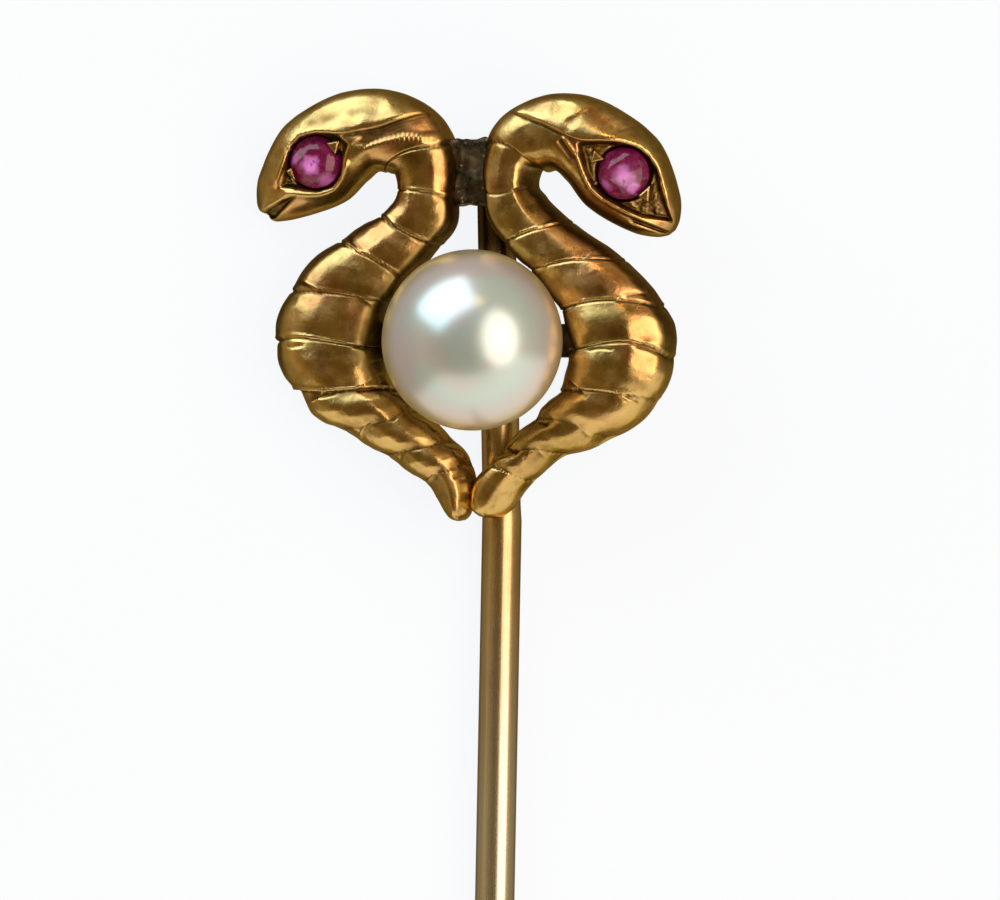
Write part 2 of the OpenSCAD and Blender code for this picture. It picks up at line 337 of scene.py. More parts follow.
# The eyes as pixels of the photo, and then the features' sizes: the seats under the stones, the
# brows, lids and lips, the grooved cheek with its fine teeth, the mouths and the notched snout
LEFT_EYE_PIXEL = (316.5, 163)
RIGHT_EYE_PIXEL = (623, 175)
SEAT_RADIUS = 0.82
SEAT_FLOOR = 1.2
RECESS_DEPTH = 0.3
BROW_HEIGHT = 0.13
LID_HEIGHT = 0.08
LIP_HEIGHT = 0.09
CHANNEL_DEPTH = 0.07
CHEEK_HEIGHT = 0.035
FACET_HEIGHT = 0.07
TEETH = 19
TOOTH_HEIGHT = 0.014
LEFT_MOUTH_DEPTH = (0.2, 0.3)
LEFT_MOUTH_END = (262, 213)
RIGHT_MOUTH_DEPTH = 0.2
NOTCH_REACH = 0.16
NOTCH_DEPTH = 0.14

# Small helpers


def from_hex(code):
    """An sRGB colour such as C9973A as the linear colour that Blender's sockets take."""
    shares = [int(code[i:i + 2], 16) / 255 for i in (0, 2, 4)]
    linear = [s / 12.92 if s <= 0.04045 else ((s + 0.055) / 1.055) ** 2.4 for s in shares]
    return (*linear, 1)


def smooth_step(low, high, x):
    """0 at low and 1 at high, with a soft rise between them."""
    share = np.clip((x - low) / (high - low), 0, 1)
    return share * share * (3 - 2 * share)


def on_pin(points):
    """Points of the head's own frame, at their places on the pin."""
    x, y, z = np.asarray(points, float).T
    leaned_x, leaned_y = turned(x, y, HEAD_LEAN)
    z = z + STEM_BEHIND
    return np.column_stack([
        leaned_x * math.cos(ROLL) - z * math.sin(ROLL),
        leaned_y,
        leaned_x * math.sin(ROLL) + z * math.cos(ROLL),
    ])


def seen_at(pixels, height=FRONT_HEIGHT):
    """Places in the head's own frame that are seen at pixels of the photo."""
    u, v = np.asarray(pixels, float).T
    x, y = (u - ORIGIN_PIXEL[0]) * PIXEL, (ORIGIN_PIXEL[1] - v) * PIXEL
    x, y = turned(x, y, CAMERA_ROLL)
    x = (x + (height + STEM_BEHIND) * math.sin(ROLL)) / math.cos(ROLL)
    return np.column_stack(turned(x, y, -HEAD_LEAN))


def turned(x, y, angle):
    """Places turned anticlockwise about the origin."""
    c, s = math.cos(angle), math.sin(angle)
    return x * c - y * s, x * s + y * c


def cut_corners(points, times=3):
    """A line with its corners rounded by cutting them again and again."""
    points = np.asarray(points, float)
    for _ in range(times):
        near = 0.75 * points[:-1] + 0.25 * points[1:]
        far = 0.25 * points[:-1] + 0.75 * points[1:]
        inner = np.empty((2 * len(near), points.shape[1]))
        inner[0::2] = near
        inner[1::2] = far
        points = np.vstack([points[:1], inner[1:-1], points[-1:]])
    return points


def uneven(points, size, seed):
    """Smooth noise from -1 to 1 at each point, with bumps about that size across."""
    shift = Vector((seed * 17.3, seed * 5.1, seed * 9.7))
    return np.array([noise.noise(Vector(p) / size + shift) for p in points])


def beside(line, points):
    """Distance of each point from a line, positive left of it, and the share of the way along."""
    away = np.full(len(points), np.inf)
    signed = np.zeros(len(points))
    share = np.zeros(len(points))
    lengths = np.linalg.norm(np.diff(line, axis=0), axis=1)
    start = 0
    for a, b, length in zip(line[:-1], line[1:], lengths):
        ahead = (b - a) / length
        offset = points - a
        run = np.clip(offset @ ahead, 0, length)
        gap = np.hypot(*(offset - run[:, None] * ahead).T)
        side = np.where(ahead[0] * offset[:, 1] - ahead[1] * offset[:, 0] < 0, -1, 1)
        nearer = gap < away
        away[nearer] = gap[nearer]
        signed[nearer] = (gap * side)[nearer]
        share[nearer] = ((start + run) / lengths.sum())[nearer]
        start += length
    return signed, share


def within(outline, points):
    """Distance of each point inside a closed outline, negative outside it."""
    outline = np.asarray(outline, float)
    inside = np.zeros(len(points), bool)
    for a, b in zip(outline, np.roll(outline, -1, axis=0)):
        crosses = (a[1] > points[:, 1]) != (b[1] > points[:, 1])
        rise = b[1] - a[1] if b[1] != a[1] else 1
        inside ^= crosses & (points[:, 0] < a[0] + (points[:, 1] - a[1]) * (b[0] - a[0]) / rise)
    away = np.abs(beside(np.vstack([outline, outline[:1]]), points)[0])
    return np.where(inside, away, -away)


def fading(share, run=0.12):
    """Falls from 1 to 0 over the same share of a line's way at both of its ends."""
    return smooth_step(0, run, share) * smooth_step(0, run, 1 - share)


# The serpents' skins


def stations(rows, t):
    """The rows' values along a Catmull-Rom curve at stations t."""
    i = np.clip(np.floor(t).astype(int), 0, len(rows) - 2)
    u = (t - i)[:, None]
    a, b, c, d = (rows[np.clip(i + k, 0, len(rows) - 1)] for k in (-1, 0, 1, 2))
    return 0.5 * (
        2 * b + (c - a) * u + (2 * a - 5 * b + 4 * c - d) * u**2 + (3 * b - 3 * c + d - a) * u**3
    )


def headings(rows, t):
    """Unit vectors along the serpent, turned evenly from each row to the next."""
    last = len(rows) - 1
    ends = np.clip([np.arange(last + 1) + 1, np.arange(last + 1) - 1], 0, last)
    steps = rows[ends[0], :2] - rows[ends[1], :2]
    steps /= np.linalg.norm(steps, axis=1)[:, None]
    i = np.clip(np.floor(t).astype(int), 0, last - 1)
    share = (t - i)[:, None]
    mixed = (1 - share) * steps[i] + share * steps[i + 1]
    return mixed / np.linalg.norm(mixed, axis=1)[:, None]


def ring_places(rows):
    """Stations of all rings, evenly spaced in millimetres, their distance from the snout, and a
    function that gives the distance of any station."""
    fine = np.linspace(0, len(rows) - 1, 4001)
    centre = stations(rows, fine)[:, :2]
    run = np.concatenate([[0], np.cumsum(np.linalg.norm(np.diff(centre, axis=0), axis=1))])
    neck = np.interp(NECK_STATION, fine, run)
    head_run = np.arange(0, neck, HEAD_RING_STEP)
    body_run = np.linspace(neck, run[-1], round((run[-1] - neck) / BODY_RING_STEP))
    rings = np.concatenate([head_run, body_run])
    return np.interp(rings, run, fine), rings, lambda t: np.interp(t, fine, run)


def spaced(line, count, skip=0):
    """Evenly spaced points along a line that is rounded between its ends."""
    line = cut_corners(line)
    run = np.concatenate([[0], np.cumsum(np.linalg.norm(np.diff(line, axis=0), axis=1))])
    places = np.linspace(0, run[-1], count)[skip:]
    return np.column_stack([np.interp(places, run, line[:, k]) for k in (0, 1)])


def half_section(profile):
    """Points of a half section, ridge first, evenly spaced on both sides of its crease."""
    crease, points = profile
    top = spaced(points[:crease + 1], TOP_POINTS)
    return np.vstack([top, spaced(points[crease:], SIDE_POINTS, 1)])


def ring_sections(t, left, right):
    """Section of every ring, mixed from the sections given by station, as (share across, share up)."""

    def side(stops):
        places = [s[0] for s in stops]
        shapes = np.array([half_section(s[1]) for s in stops])
        return np.stack([
            np.stack([np.interp(t, places, shapes[:, j, k]) for j in range(shapes.shape[1])], axis=1)
            for k in (0, 1)
        ], axis=2)

    left_half, right_half = side(left), side(right)
    left_half = left_half[:, ::-1]
    right_half = right_half[:, 1:] * (-1, 1)
    shares = np.linspace(0, 1, BACK_POINTS + 2)[1:-1]
    last, first = right_half[:, -1:], left_half[:, :1]
    back = last + (first - last) * shares[None, :, None]
    whole = np.concatenate([left_half, right_half, back], axis=1)
    shifts = range(-CREASE_BLUR, CREASE_BLUR + 1)
    softened = np.mean([np.roll(whole, shift, axis=1) for shift in shifts], axis=0)
    softened[:, :, 0] /= np.abs(softened[:, :, 0]).max(axis=1, keepdims=True)
    return softened


def shifted_facets(across, bands, run, run_at, seed):
    """Moves the creases of each scale band a little, as their facets were cut one by one."""
    chance = np.random.default_rng(seed)
    out = across.copy()
    for side in (1, -1):
        starts = [run_at(over_width(band[0], 0.4 * side)) for band in bands]
        shifts = np.concatenate([[0], chance.uniform(-FACET_SHIFT, FACET_SHIFT, len(bands))])
        shift = shifts[np.searchsorted(starts, run)][:, None]
        near = np.sin(math.pi * np.clip(np.abs(across), 0, 1)) ** 2 * (np.sign(across) == side)
        out += side * shift * near
    return out


def surface_normals(grid):
    """Outward normals of a grid of rings."""
    along = np.gradient(grid, axis=0)
    round_it = np.roll(grid, -1, axis=1) - np.roll(grid, 1, axis=1)
    normals = np.cross(along, round_it)
    return normals / np.maximum(np.linalg.norm(normals, axis=2), 1e-9)[:, :, None]


def over_width(values, u):
    """A value given at the left edge, in the middle and at the right edge, at shares u across."""
    left, middle, right = values
    return middle + 0.5 * (left - right) * u + (0.5 * (left + right) - middle) * u * u


def band_relief(bands, run, run_at, across):
    """Height of the scale bands over the plain serpent, in millimetres."""
    u = np.clip(across, -1, 1)
    here = np.repeat(run[:, None], u.shape[1], axis=1)
    edges = [run_at(over_width(band[0], u)) for band in bands] + [np.full_like(u, run[-1] + 1)]
    lips = [band[2] for band in bands[1:]] + [(0, 0, 0)]
    rim = 1 + RIM_GAIN * smooth_step(0.75, 1, np.abs(u))
    relief = np.zeros_like(u)
    for band, lip, start, end in zip(bands, lips, edges[:-1], edges[1:]):
        share = (here - start) / np.maximum(end - start, 1e-3)
        set_in = band[3] * rim * (1 - smooth_step(0, SET_IN_SHARE, share))
        fall = band[4] * rim * smooth_step(1 - FALL_SHARE, 1, share)
        raised = over_width(lip, u) * np.exp(-(((end - here - LIP_WIDTH) / LIP_WIDTH) ** 2))
        relief = np.where((share >= 0) & (share < 1), raised - set_in - fall, relief)
    for band, edge in zip(bands, edges):
        line = np.exp(-(((here - edge - CUT_WIDTH / 2) / CUT_WIDTH) ** 2))
        relief -= np.maximum(over_width(band[1], u), 0) * line
    return relief


def blurred(grid, cells):
    """Each point's mean with its neighbours that many cells away, along and around."""
    rows = np.arange(len(grid))
    total = np.zeros_like(grid)
    count = 0
    for k in range(-cells, cells + 1):
        total += grid[np.clip(rows + k, 0, len(grid) - 1)]
        total += np.roll(grid, k, axis=1)
        count += 2
    return total / count


def ridge(line, xy, width, fade=0.12, sharp_side=False):
    """How close each point is to a line, from 0 to 1. With a sharp side, its right drops at once."""
    signed, share = beside(cut_corners(seen_at(line), 2), xy)
    near = np.exp(-((signed / width) ** 2))
    if sharp_side:
        near = np.exp(-((np.maximum(signed, 0) / width) ** 2)) * smooth_step(-0.07, 0, signed)
    return near * fading(share, fade)


def cut_lines(cuts, xy):
    """Height of the lines cut with a graver at each point."""
    return -sum(depth * ridge(line, xy, width, 0.2) for line, width, depth in cuts)


def rough_floor(inside, xy, seed):
    """Unevenness left by the graver in the bottom of a recess."""
    flat = np.column_stack([xy, np.zeros(len(xy))])
    strokes = 0.05 * uneven(flat, 0.2, seed) + 0.03 * uneven(flat, 0.1, seed)
    return smooth_step(0.05, 0.2, inside) * strokes


def dents(spots, xy):
    """Height of shallow round dents at each point."""
    lift = np.zeros(len(xy))
    for pixel, radius, depth in spots:
        away = np.hypot(*(xy - seen_at([pixel])[0]).T)
        lift -= depth * np.exp(-((away / radius) ** 2))
    return lift


def push_in_snout(points):
    """Notches the left snout's outline, towards the middle of the eye."""
    spot, middle = seen_at([LEFT_SNOUT_NOTCH, LEFT_EYE_PIXEL])
    inward = (middle - spot) / np.linalg.norm(middle - spot)
    near = np.exp(-((np.hypot(*(points[:, :2] - spot).T) / NOTCH_REACH) ** 2))
    points[:, :2] += NOTCH_DEPTH * near[:, None] * inward


def rosy_spots(spots, xy):
    """How rosy the gold is at each point."""
    share = np.zeros(len(xy))
    for pixel, radius in spots:
        centre = seen_at([pixel])[0]
        share = np.maximum(share, np.exp(-((np.hypot(*(xy - centre).T) / radius) ** 2)))
    return share


def left_head_relief(xy):
    """Lift of the left head's features, how much patina and shade they carry and how rosy."""
    lift = BROW_HEIGHT * ridge(LEFT_BROW, xy, 0.5, 0.06, sharp_side=True)
    inside = within(seen_at(LEFT_RECESS), xy)
    lift -= RECESS_DEPTH * smooth_step(-0.05, 0.2, inside) + rough_floor(inside, xy, 41)
    channel = smooth_step(-0.03, 0.16, within(seen_at(LEFT_CHANNEL), xy))
    lift -= CHANNEL_DEPTH * channel
    signed, share = beside(cut_corners(seen_at(LEFT_CHEEK), 2), xy)
    lift += CHEEK_HEIGHT * np.exp(-((signed / 0.26) ** 2)) * fading(share, 0.2)
    # The fine teeth cut along the cheek stand out more towards the neck
    teeth = np.sin(share * 2 * math.pi * TEETH) * (0.3 + 0.7 * smooth_step(0.45, 0.6, share))
    lift += TOOTH_HEIGHT * teeth * fading(share) * np.exp(-((signed / 0.11) ** 2))
    lift += LID_HEIGHT * ridge(LEFT_LID, xy, 0.09)
    along_mouth = beside(seen_at([LEFT_MOUTH[0], LEFT_MOUTH_END]), xy)[1]
    mouth = smooth_step(-0.02, 0.12, within(seen_at(LEFT_MOUTH), xy))
    shallow, deep = LEFT_MOUTH_DEPTH
    lift -= mouth * (shallow + (deep - shallow) * smooth_step(0.6, 1, along_mouth))
    lift += cut_lines(LEFT_CUTS, xy) + dents(LEFT_DENTS, xy)
    valley = ridge(LEFT_VALLEY, xy, 0.14)
    # Patina and shade: darker in the recess, the channel, the mouth and the valley
    patina_and_shade = 0.8 * smooth_step(0, 0.12, inside) + 0.15 * channel + 0.6 * mouth + 0.6 * valley
    # Painted dark reflections along the crown
    patina_and_shade += 0.6 * sum(ridge(line, xy, 0.16, 0.25) for line in LEFT_DARK_REFLECTIONS)
    return lift, patina_and_shade, rosy_spots(LEFT_ROSY, xy)


def right_head_relief(xy):
    """Lift of the right head's features, how much patina and shade they carry and how rosy."""
    lift = BROW_HEIGHT * ridge(RIGHT_BROW, xy, 0.45, 0.06, sharp_side=True)
    inside = within(seen_at(RIGHT_RECESS), xy)
    lift -= RECESS_DEPTH * smooth_step(-0.04, 0.12, inside) + rough_floor(inside, xy, 42)
    lift += LIP_HEIGHT * ridge(RIGHT_LIP, xy, 0.1, 0.08, sharp_side=True)
    signed, share = beside(cut_corners(seen_at(RIGHT_CHEEK), 2), xy)
    facet = np.exp(-((signed / 0.07) ** 2)) - np.exp(-(((signed + 0.14) / 0.1) ** 2))
    lift += FACET_HEIGHT * facet * fading(share, 0.2)
    mouth = ridge(RIGHT_MOUTH, xy, 0.06, 0.1)
    lift -= RIGHT_MOUTH_DEPTH * mouth
    lift += cut_lines(RIGHT_CUTS, xy) + dents(RIGHT_DENTS, xy)
    # Patina and shade: darker in the recess and the mouth
    patina_and_shade = smooth_step(0, 0.1, inside) + 0.4 * mouth
    return lift, patina_and_shade, rosy_spots(RIGHT_ROSY, xy)


def sink_seat(points, eye):
    """Drops the round seat under an eye stone."""
    away = np.hypot(points[:, 0] - eye[0], points[:, 1] - eye[1])
    inside = smooth_step(SEAT_RADIUS + 0.04, SEAT_RADIUS - 0.02, away)
    front = points[:, 2] > SEAT_FLOOR
    points[:, 2] = np.where(front, points[:, 2] * (1 - inside) + SEAT_FLOOR * inside, points[:, 2])
    return inside * front


def plain_rings(rows, t, run, across, up):
    """Points of an uncarved serpent, ring by ring, from each one's shares across and up."""
    x, y, half, back, top = stations(rows, t).T[:, :, None]
    ahead = headings(rows, t)
    from_end = np.clip(np.minimum(run, run[-1] - run) / END_ROUNDING, 0, 1)
    ends = np.sqrt(np.clip(1 - (1 - from_end) ** 2, 0.05, 1))[:, None]
    half = half * (0.35 + 0.65 * ends)
    height = (top - back) * (0.75 + 0.25 * ends)
    return np.stack([
        x + across * half * ahead[:, 1:2],
        y - across * half * ahead[:, :1],
        back + up * height,
    ], axis=2)


def hand_waves(grid, seed):
    """Unevenness left by the hand at each point of the rings."""
    flat = grid.reshape(-1, 3)
    waves = HAND_WAVES * (uneven(flat, 1.1, seed) + 0.4 * uneven(flat, 0.4, seed + 3))
    return waves.reshape(grid.shape[:2])


def above_mean(grid, normals, cells):
    """How far each point stands out over the mean of those around it."""
    return ((grid - blurred(grid, cells)) * normals).sum(axis=2)


def gathered_patina_and_shade(grid, t, outward):
    """Tarnish in the hollows, painted shade on the walls, beside the pearl and along the outer rim, and
    how worn the edges are. outward is the share across, positive away from the pearl."""
    normals = surface_normals(grid)
    station = t[:, None]
    fine = above_mean(grid, normals, FINE_HOLLOW[0])
    broad = above_mean(grid, normals, BROAD_HOLLOW[0])
    hollow = np.clip(-fine / FINE_HOLLOW[1], 0, 1) + np.clip(-broad / BROAD_HOLLOW[1], 0, 1)
    # Painted shade on the walls, weaker on the tails and on the head
    walls = smooth_step(*WALL_SLOPE, np.abs(normals[:, :, 2]))
    walls *= 1 - 0.9 * smooth_step(*TAIL_BEGINS, station)
    walls *= 0.6 + 0.35 * smooth_step(*NECK_BEGINS, station)
    coil = smooth_step(*COIL_BEGINS, station)
    # Painted shade on the coils beside the pearl and along their outer rims
    shade_beside_pearl = coil * smooth_step(*COIL_ENDS, station) * smooth_step(*PEARL_SHADE, -outward)
    outer_rim_shade = coil * smooth_step(*RIM_ENDS, station) * smooth_step(*OUTER_RIM, outward)
    patina_and_shade = 0.5 * hollow + walls + 0.7 * shade_beside_pearl + 0.5 * outer_rim_shade
    worn = np.clip(fine / WORN_EDGE, 0, 1) * (1 - walls)
    return patina_and_shade.ravel(), worn.ravel()


def serpent(rows, bands, sections, head_relief, eye, outward_side, seed, notched_snout=False):
    """A serpent as a closed skin of fine rings, carved with its bands and its head's features."""
    t, run, run_at = ring_places(rows)
    section = ring_sections(t, *sections)
    up = section[:, :, 1]
    across = shifted_facets(section[:, :, 0], bands, run, run_at, seed)
    grid = plain_rings(rows, t, run, across, up)
    normals = surface_normals(grid)
    not_back = smooth_step(*OVER_BACK, up)
    relief = (band_relief(bands, run, run_at, across) + hand_waves(grid, seed)) * not_back
    grid = grid + normals * relief[:, :, None]
    points = grid.reshape(-1, 3).copy()
    front = smooth_step(*FACES_FRONT, normals[:, :, 2]).ravel()
    lift, head_patina_and_shade, rosy = head_relief(points[:, :2])
    points[:, 2] += lift * front
    if notched_snout:
        push_in_snout(points)
    seat = sink_seat(points, eye)
    patina_and_shade, worn = gathered_patina_and_shade(points.reshape(grid.shape), t, outward_side * across)
    # The head's darker features add to it, and the seat under each stone is darkened too
    patina_and_shade += head_patina_and_shade * front + 0.7 * seat
    looks = {"patina_and_shade": np.clip(patina_and_shade, 0, 1), "worn": worn, "rosy": rosy}
    return skin(on_pin(points), grid.shape[:2], looks)


def skin(points, shape, looks):
    """A mesh of rings of points, closed by a fan at each end, with its looks as attributes."""
    rings, sides = shape
    tips = np.array([points[:sides].mean(axis=0), points[-sides:].mean(axis=0)])
    i, j = np.meshgrid(np.arange(rings - 1), np.arange(sides), indexing="ij")
    k = (j + 1) % sides
    walls = np.stack([i * sides + j, (i + 1) * sides + j, (i + 1) * sides + k, i * sides + k], axis=2)
    around = np.arange(sides)
    after = (around + 1) % sides
    first = np.column_stack([np.full(sides, len(points)), around, after])
    last_ring = (rings - 1) * sides
    last = np.column_stack([np.full(sides, len(points) + 1), last_ring + after, last_ring + around])
    faces = walls.reshape(-1, 4).tolist() + first.tolist() + last.tolist()
    piece = new_piece("skin", (np.vstack([points, tips]) * MM).tolist(), faces=faces)
    for attribute, values in looks.items():
        layer = piece.data.attributes.new(attribute, "FLOAT", "POINT")
        ends = [values[:sides].mean(), values[-sides:].mean()]
        layer.data.foreach_set("value", np.concatenate([values, ends]).astype(np.float32))
    piece.data.shade_smooth()
    return piece


# Making pieces with the tools


def deselect():
    bpy.ops.object.select_all(action="DESELECT")


def new_piece(name, points, edges=(), faces=()):
    """A piece made from its points, selected and active."""
    mesh = bpy.data.meshes.new(name)
    mesh.from_pydata(points, edges, faces)
    piece = bpy.data.objects.new(name, mesh)
    bpy.context.scene.collection.objects.link(piece)
    bpy.context.view_layer.objects.active = piece
    piece.select_set(True)
    return piece


def all_in_edit_mode():
    """Opens the active piece in edit mode with all of it selected."""
    bpy.ops.object.mode_set(mode="EDIT")
    bpy.ops.mesh.select_all(action="SELECT")


def facing_outwards():
    """Turns all faces of the piece in edit mode outwards, and closes edit mode."""
    bpy.ops.mesh.select_all(action="SELECT")
    bpy.ops.mesh.normals_make_consistent(inside=False)
    bpy.ops.object.mode_set(mode="OBJECT")


def put_in_mesh():
    """Moves the active piece's place, turn and scale into its mesh."""
    bpy.ops.object.transform_apply(location=True, rotation=True, scale=True)


def points_of(piece):
    """The places of a piece's points, one row for each."""
    return np.array([v.co for v in piece.data.vertices], float)


def set_points(piece, points):
    """Puts a piece's points at new places."""
    piece.data.vertices.foreach_set("co", points.ravel())
    piece.data.update()


def finished(piece, name, material, node):
    """Names a piece, gives it its finish and rides it on the part in place of a CAD node."""
    piece.name = name
    piece.data.name = name
    piece.data.materials.clear()
    piece.data.materials.append(material)
    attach(piece, "root")
    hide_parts(node)


def modelled(moved=np.copy):
    """The active piece, drawn in millimetres, with its points moved by a function, in metres."""
    piece = bpy.context.object
    put_in_mesh()
    set_points(piece, moved(points_of(piece)) * MM)
    return piece


def apply(piece, kind, **settings):
    """Adds a modifier with its settings and applies it."""
    bpy.context.view_layer.objects.active = piece
    modifier = piece.modifiers.new(kind, kind)
    for key, value in settings.items():
        setattr(modifier, key, value)
    bpy.ops.object.modifier_apply(modifier=modifier.name)


# The stem

STEM_RADIUS = 0.6
UPPER_RADIUS = 0.58
BEND = math.radians(2.1)
STEM_TOP = 11.15
TAPER_START = -42
STEM_END = -49.0

# Distances between the wire's rings: below its top, behind the head and further down, where the
# first one is 1 mm below the tails
TOP_STEP = 0.65
UPPER_STEP = 0.5
LOWER_STEP = 1.5
FIRST_BELOW = -1

# The wire's radius at heights of its point
POINT_RADII = {
    -44: 0.5, -46: 0.35, -47.5: 0.22, -48.4: 0.145, -48.85: 0.11, -48.97: 0.08, STEM_END: 0.03,
}


def stem_centre(y):
    """How far the stem's axis lies to the left of the straight line at height y."""
    return -math.tan(BEND) * max(0, y)


def stem():
    """Round wire drawn from the head to the point, bent slightly behind the head."""
    deselect()
    bpy.ops.mesh.primitive_circle_add(
        vertices=64, radius=UPPER_RADIUS, fill_type="NGON",
        location=(stem_centre(STEM_TOP), STEM_TOP, 0), rotation=(math.radians(90), 0, 0),
    )
    put_in_mesh()
    all_in_edit_mode()
    behind_head = np.arange(STEM_TOP - TOP_STEP, -UPPER_STEP / 2, -UPPER_STEP)
    further_down = np.arange(FIRST_BELOW, TAPER_START, -LOWER_STEP)
    place, radius = (stem_centre(STEM_TOP), STEM_TOP), UPPER_RADIUS
    for y in [*behind_head, *further_down, TAPER_START, *POINT_RADII]:
        new_radius = POINT_RADII.get(y, UPPER_RADIUS if y > 0 else STEM_RADIUS)
        x = stem_centre(y)
        bpy.ops.mesh.extrude_region_move(
            TRANSFORM_OT_translate={"value": (x - place[0], y - place[1], 0)}
        )
        grow = new_radius / radius
        bpy.ops.transform.resize(value=(grow, 1, grow), center_override=(x, y, 0))
        place, radius = (x, y), new_radius
    facing_outwards()
    piece = modelled()
    bpy.ops.object.shade_smooth_by_angle(angle=math.radians(40))
    return piece


# The bar with its cup and peg, and the bridge

PEARL_AT = (-0.3, 5.47, 3.0)
PEARL_RADIUS = 2.75
PEARL_BED = 2.8
BAR_WIDTH = 1.02
BAR_BACK = -0.12
BAR_FRONT = 0.5
BAR_LEFT = -4.3
BAR_RIGHT = 3.2
CUP_RADIUS = 1.2
CUP_TOP = 0.62
PEG_RADIUS = 0.35
PEG_TOP = 2.4
BORE_RADIUS = 0.4
BORE_BOTTOM = 2.6
FILE_MARKS = 0.012


def pearl_bar():
    """Flat bar across the back, filed by hand, with a round dish and a peg for the pearl."""
    deselect()
    x, y, z = PEARL_AT
    bpy.ops.mesh.primitive_cube_add(
        size=1, location=((BAR_LEFT + BAR_RIGHT) / 2, y, (BAR_BACK + BAR_FRONT) / 2),
        scale=(BAR_RIGHT - BAR_LEFT, BAR_WIDTH, BAR_FRONT - BAR_BACK),
    )
    bar = bpy.context.object
    put_in_mesh()
    apply(bar, "BEVEL", width=0.08, segments=3)
    all_in_edit_mode()
    bpy.ops.mesh.subdivide(number_cuts=6)
    bpy.ops.object.mode_set(mode="OBJECT")
    deselect()
    cup = spun("cup", dish_profile(z), (x, y))
    bar.select_set(True)
    cup.select_set(True)
    bpy.context.view_layer.objects.active = bar
    bpy.ops.object.join()

    def filed(points):
        marks = np.column_stack([uneven(points, 0.5, seed) for seed in (11, 12, 13)])
        return on_pin(points + FILE_MARKS * marks)

    piece = modelled(filed)
    bpy.ops.object.shade_smooth_by_angle(angle=math.radians(35))
    return piece


def dish_profile(pearl_height):
    """Half profile of the cup and peg, from the middle of the back to the top of the peg."""
    rim_z = min(pearl_height - math.sqrt(PEARL_BED**2 - CUP_RADIUS**2), CUP_TOP)
    inner = [
        (r, pearl_height - math.sqrt(PEARL_BED**2 - r**2))
        for r in np.linspace(CUP_RADIUS - 0.08, PEG_RADIUS + 0.05, 8)
    ]
    return [
        (0, BAR_BACK + 0.04), (CUP_RADIUS - 0.1, BAR_BACK + 0.04), (CUP_RADIUS, BAR_BACK + 0.12),
        (CUP_RADIUS, rim_z - 0.06), (CUP_RADIUS - 0.03, rim_z - 0.02), *inner,
        (PEG_RADIUS, inner[-1][1] + 0.04), (PEG_RADIUS, PEG_TOP - 0.06), (PEG_RADIUS - 0.06, PEG_TOP),
        (0, PEG_TOP),
    ]


def spun(name, profile, centre):
    """A profile of (radius, height) spun round an upright axis into a closed piece."""
    points = [(centre[0] + r, centre[1], z) for r, z in profile]
    piece = new_piece(name, points, [(i, i + 1) for i in range(len(points) - 1)])
    all_in_edit_mode()
    bpy.ops.mesh.spin(steps=48, angle=2 * math.pi, center=(*centre, 0), axis=(0, 0, 1))
    bpy.ops.mesh.select_all(action="SELECT")
    bpy.ops.mesh.remove_doubles(threshold=0.001)
    facing_outwards()
    return piece


BRIDGE_LOW = (-1.72, 9.53, -0.08)
BRIDGE_HIGH = (0.22, 11.65, 1.12)
SOLDER_RUNS = 0.4
SOLDER_SHRINK = 0.07


def neck_bridge():
    """Rough block of dark solder that joins the two necks."""
    deselect()
    low, high = np.array(BRIDGE_LOW), np.array(BRIDGE_HIGH)
    bpy.ops.mesh.primitive_cube_add(size=1, location=(low + high) / 2, scale=high - low)
    block = bpy.context.object
    put_in_mesh()
    apply(block, "BEVEL", width=0.12, segments=3)
    apply(block, "REMESH", mode="VOXEL", voxel_size=0.05)

    def lumpy(points):
        out = points - (low + high) / 2
        out /= np.linalg.norm(out, axis=1)[:, None]
        lumps = 0.10 * uneven(points, 0.6, 21) + 0.03 * uneven(points, 0.25, 22)
        wandering = points[:, 0] + 0.3 * uneven(points, 0.7, 23)
        runs = 0.02 * np.sin(wandering * 2 * math.pi / SOLDER_RUNS)
        return on_pin(points + out * (lumps + runs - SOLDER_SHRINK)[:, None])

    piece = modelled(lumpy)
    bpy.ops.object.shade_smooth()
    return piece


# The pearl, the rubies and their prongs


def pearl():
    """Slightly uneven pearl, drilled halfway from behind for its peg."""
    deselect()
    x, y, z = PEARL_AT
    bpy.ops.mesh.primitive_cube_add(size=2, location=(0, 0, 0))
    ball = bpy.context.object
    all_in_edit_mode()
    bpy.ops.mesh.subdivide(number_cuts=47)
    bpy.ops.object.mode_set(mode="OBJECT")
    ways = points_of(ball)
    ways /= np.linalg.norm(ways, axis=1)[:, None]
    swell = 1 - 0.0035 * (1 + uneven(ways, 0.9, 31)) - 0.0008 * (1 + uneven(ways, 0.25, 32))
    set_points(ball, ways * swell[:, None] * PEARL_RADIUS + PEARL_AT)
    bpy.ops.mesh.primitive_cylinder_add(
        vertices=48, radius=BORE_RADIUS, depth=BORE_BOTTOM + 1, location=(x, y, (BORE_BOTTOM - 1) / 2)
    )
    drill = bpy.context.object
    apply(ball, "BOOLEAN", operation="DIFFERENCE", object=drill, solver="EXACT")
    bpy.data.objects.remove(drill)
    deselect()
    ball.select_set(True)
    bpy.context.view_layer.objects.active = ball
    piece = modelled(on_pin)
    bpy.ops.object.shade_smooth_by_angle(angle=math.radians(40))
    return piece


RUBY_RADIUS = 0.79
GIRDLE_Z = 1.8
CROWN_HEIGHT = 0.38
PAVILION_DEPTH = 0.54
GIRDLE_SHARE = 0.995
GIRDLE_HALF = 0.04
UNEVEN_STEP = 0.12
UNEVEN_CUT = 0.03

